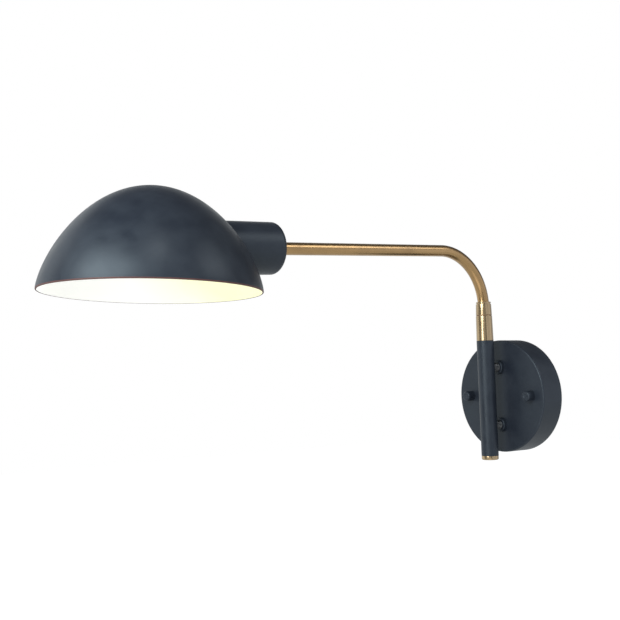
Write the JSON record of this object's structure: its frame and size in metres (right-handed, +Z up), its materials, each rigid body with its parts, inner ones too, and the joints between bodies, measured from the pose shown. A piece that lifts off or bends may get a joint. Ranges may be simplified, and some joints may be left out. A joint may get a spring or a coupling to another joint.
{
  "type": "swing-arm wall light",
  "caption": "Wall light with a round canopy, a vertical column and a bent brass arm that swings sideways, carrying a domed metal shade.",
  "frame": {"origin": "centre of the canopy's back, in the wall's surface", "axes": "+Y into the wall, +Z up, +X to the right along the wall; the arm at rest points along -Y, out of the wall"},
  "size_m": [0.1856, 0.5279, 0.2556],
  "materials": {
    "dark_powder_coat": "matt blue-black powder coat with a fine texture; the shade's inside is coated gloss white",
    "brushed_brass": "satin brushed antique brass, lacquered",
    "bright_brass": "plain bright brass",
    "zinc_plated_steel": "zinc plated",
    "green_steel": "green painted",
    "white_plastic": "moulded, matt",
    "fibre": "red-brown vulcanised fibre",
    "lead_sheath": "smooth black sheath",
    "black_moulding": "moulded phenolic, satin",
    "bulb_nickel": "rolled thin metal, bright",
    "opal_glass": "opal white"
  },
  "bodies": {
    "wall_assembly": {"mounting_bar": "zinc_plated_steel", "mounting_studs": "zinc_plated_steel", "stud_locknuts": "zinc_plated_steel", "ground_screw": "green_steel", "wall_canopy": "dark_powder_coat", "canopy_cap_nuts": "dark_powder_coat", "standoff_nipples": "zinc_plated_steel", "standoff_flanges": "dark_powder_coat", "nipple_washers": "zinc_plated_steel", "nipple_locknuts": "zinc_plated_steel", "terminal_block": "white_plastic", "terminal_screws": "bright_brass", "column_lead": "lead_sheath", "column_tube": "dark_powder_coat", "column_end_cap": "brushed_brass", "swivel_sleeve": "brushed_brass"},
    "swing_arm": {"stop_pin": "zinc_plated_steel", "friction_washer": "fibre", "swivel_collar": "brushed_brass", "swivel_pin": "zinc_plated_steel", "thrust_washer": "zinc_plated_steel", "spring_washer": "zinc_plated_steel", "swivel_ring_nut": "zinc_plated_steel", "arm_tube": "brushed_brass", "arm_lead": "lead_sheath", "arm_nipple": "zinc_plated_steel", "lamp_shade": "dark_powder_coat", "lampholder_cup": "dark_powder_coat", "cup_locknut": "zinc_plated_steel", "lampholder_base": "black_moulding", "lampholder_body": "black_moulding", "screw_shell": "bright_brass", "centre_contact": "bright_brass", "bulb_cap": "bulb_nickel", "bulb_glass": "opal_glass"}
  },
  "joints": [
    {"name": "arm_swing", "type": "hinge", "parent": "wall_assembly", "child": "swing_arm", "pos_m": [0, -0.0474, 0.0865], "axis": [0, 0, 1], "range_deg": [-80, 80]}
  ]
}
